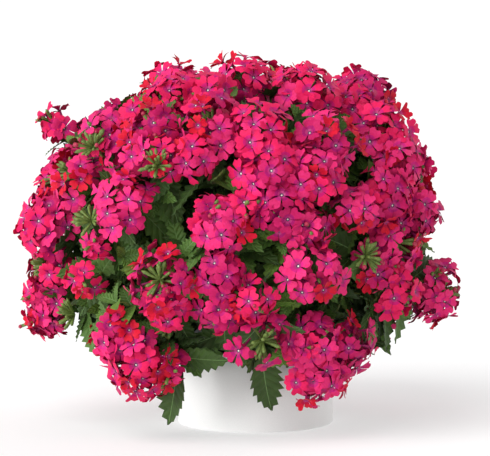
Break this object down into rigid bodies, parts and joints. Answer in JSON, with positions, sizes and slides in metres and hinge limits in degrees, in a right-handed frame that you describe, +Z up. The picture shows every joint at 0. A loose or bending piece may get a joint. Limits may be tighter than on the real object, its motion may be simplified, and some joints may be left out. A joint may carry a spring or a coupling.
{
  "type": "potted verbena",
  "caption": "Mounded, trailing garden verbena in full flower, with domed heads of small pink florets, in a dark nursery pot inside a plain white cover pot.",
  "frame": {"origin": "middle of the flat underside of the white cover pot, where the plant stands", "axes": "+Z is up along the pots' axis; -Y is the side seen in the picture; +X is to its right"},
  "size_m": [0.3177, 0.3153, 0.2666],
  "materials": {
    "white_pot": "smooth satin white, moulded",
    "dark_pot": "thin dark grey plastic, thermoformed",
    "soil": "moist peaty potting mix",
    "woody_stem": "thin fissured bark",
    "green_stem": "soft green stem with fine hairs",
    "petals": "velvety hot pink petals",
    "leaves": "rough dark green leaf with sunken veins"
  },
  "bodies": {
    "root": {"cover_pot": "white_pot", "nursery_pot": "dark_pot", "soil": "soil", "stem_base": "woody_stem", "bough_top_left": "green_stem", "bough_top_front": "green_stem", "bough_top_middle": "green_stem", "bough_top_right": "green_stem", "bough_left_upper": "green_stem", "bough_left": "green_stem", "bough_left_side": "green_stem", "bough_left_low": "green_stem", "bough_heart": "green_stem", "bough_right": "green_stem", "bough_right_low": "green_stem", "bough_right_tip": "green_stem", "bough_front_right": "green_stem", "bough_front_left": "green_stem", "bough_front": "green_stem", "bough_hem_front": "green_stem", "bough_hem_right": "green_stem", "bough_hem_left": "green_stem", "bough_back_top_right": "green_stem", "bough_back_top_left": "green_stem", "bough_back_upper_right": "green_stem", "bough_back_upper_left": "green_stem", "bough_back_right": "green_stem", "bough_back_left": "green_stem", "bough_back_middle": "green_stem", "bough_back_low_right": "green_stem", "bough_back_low_left": "green_stem", "mass_top_left": "petals", "mass_top_front": "petals", "mass_top_middle": "petals", "mass_top_right": "petals", "mass_left_upper": "petals", "mass_left": "petals", "mass_left_side": "petals", "mass_left_low": "petals", "mass_heart": "petals", "mass_right": "petals", "mass_right_low": "petals", "mass_right_tip": "petals", "mass_front_right": "petals", "mass_front_left": "petals", "mass_front": "petals", "mass_hem_front": "petals", "mass_hem_right": "petals", "mass_hem_left": "petals", "mass_back_top_right": "petals", "mass_back_top_left": "petals", "mass_back_upper_right": "petals", "mass_back_upper_left": "petals", "mass_back_right": "petals", "mass_back_left": "petals", "mass_back_middle": "petals", "mass_back_low_right": "petals", "mass_back_low_left": "petals"}
  },
  "joints": []
}
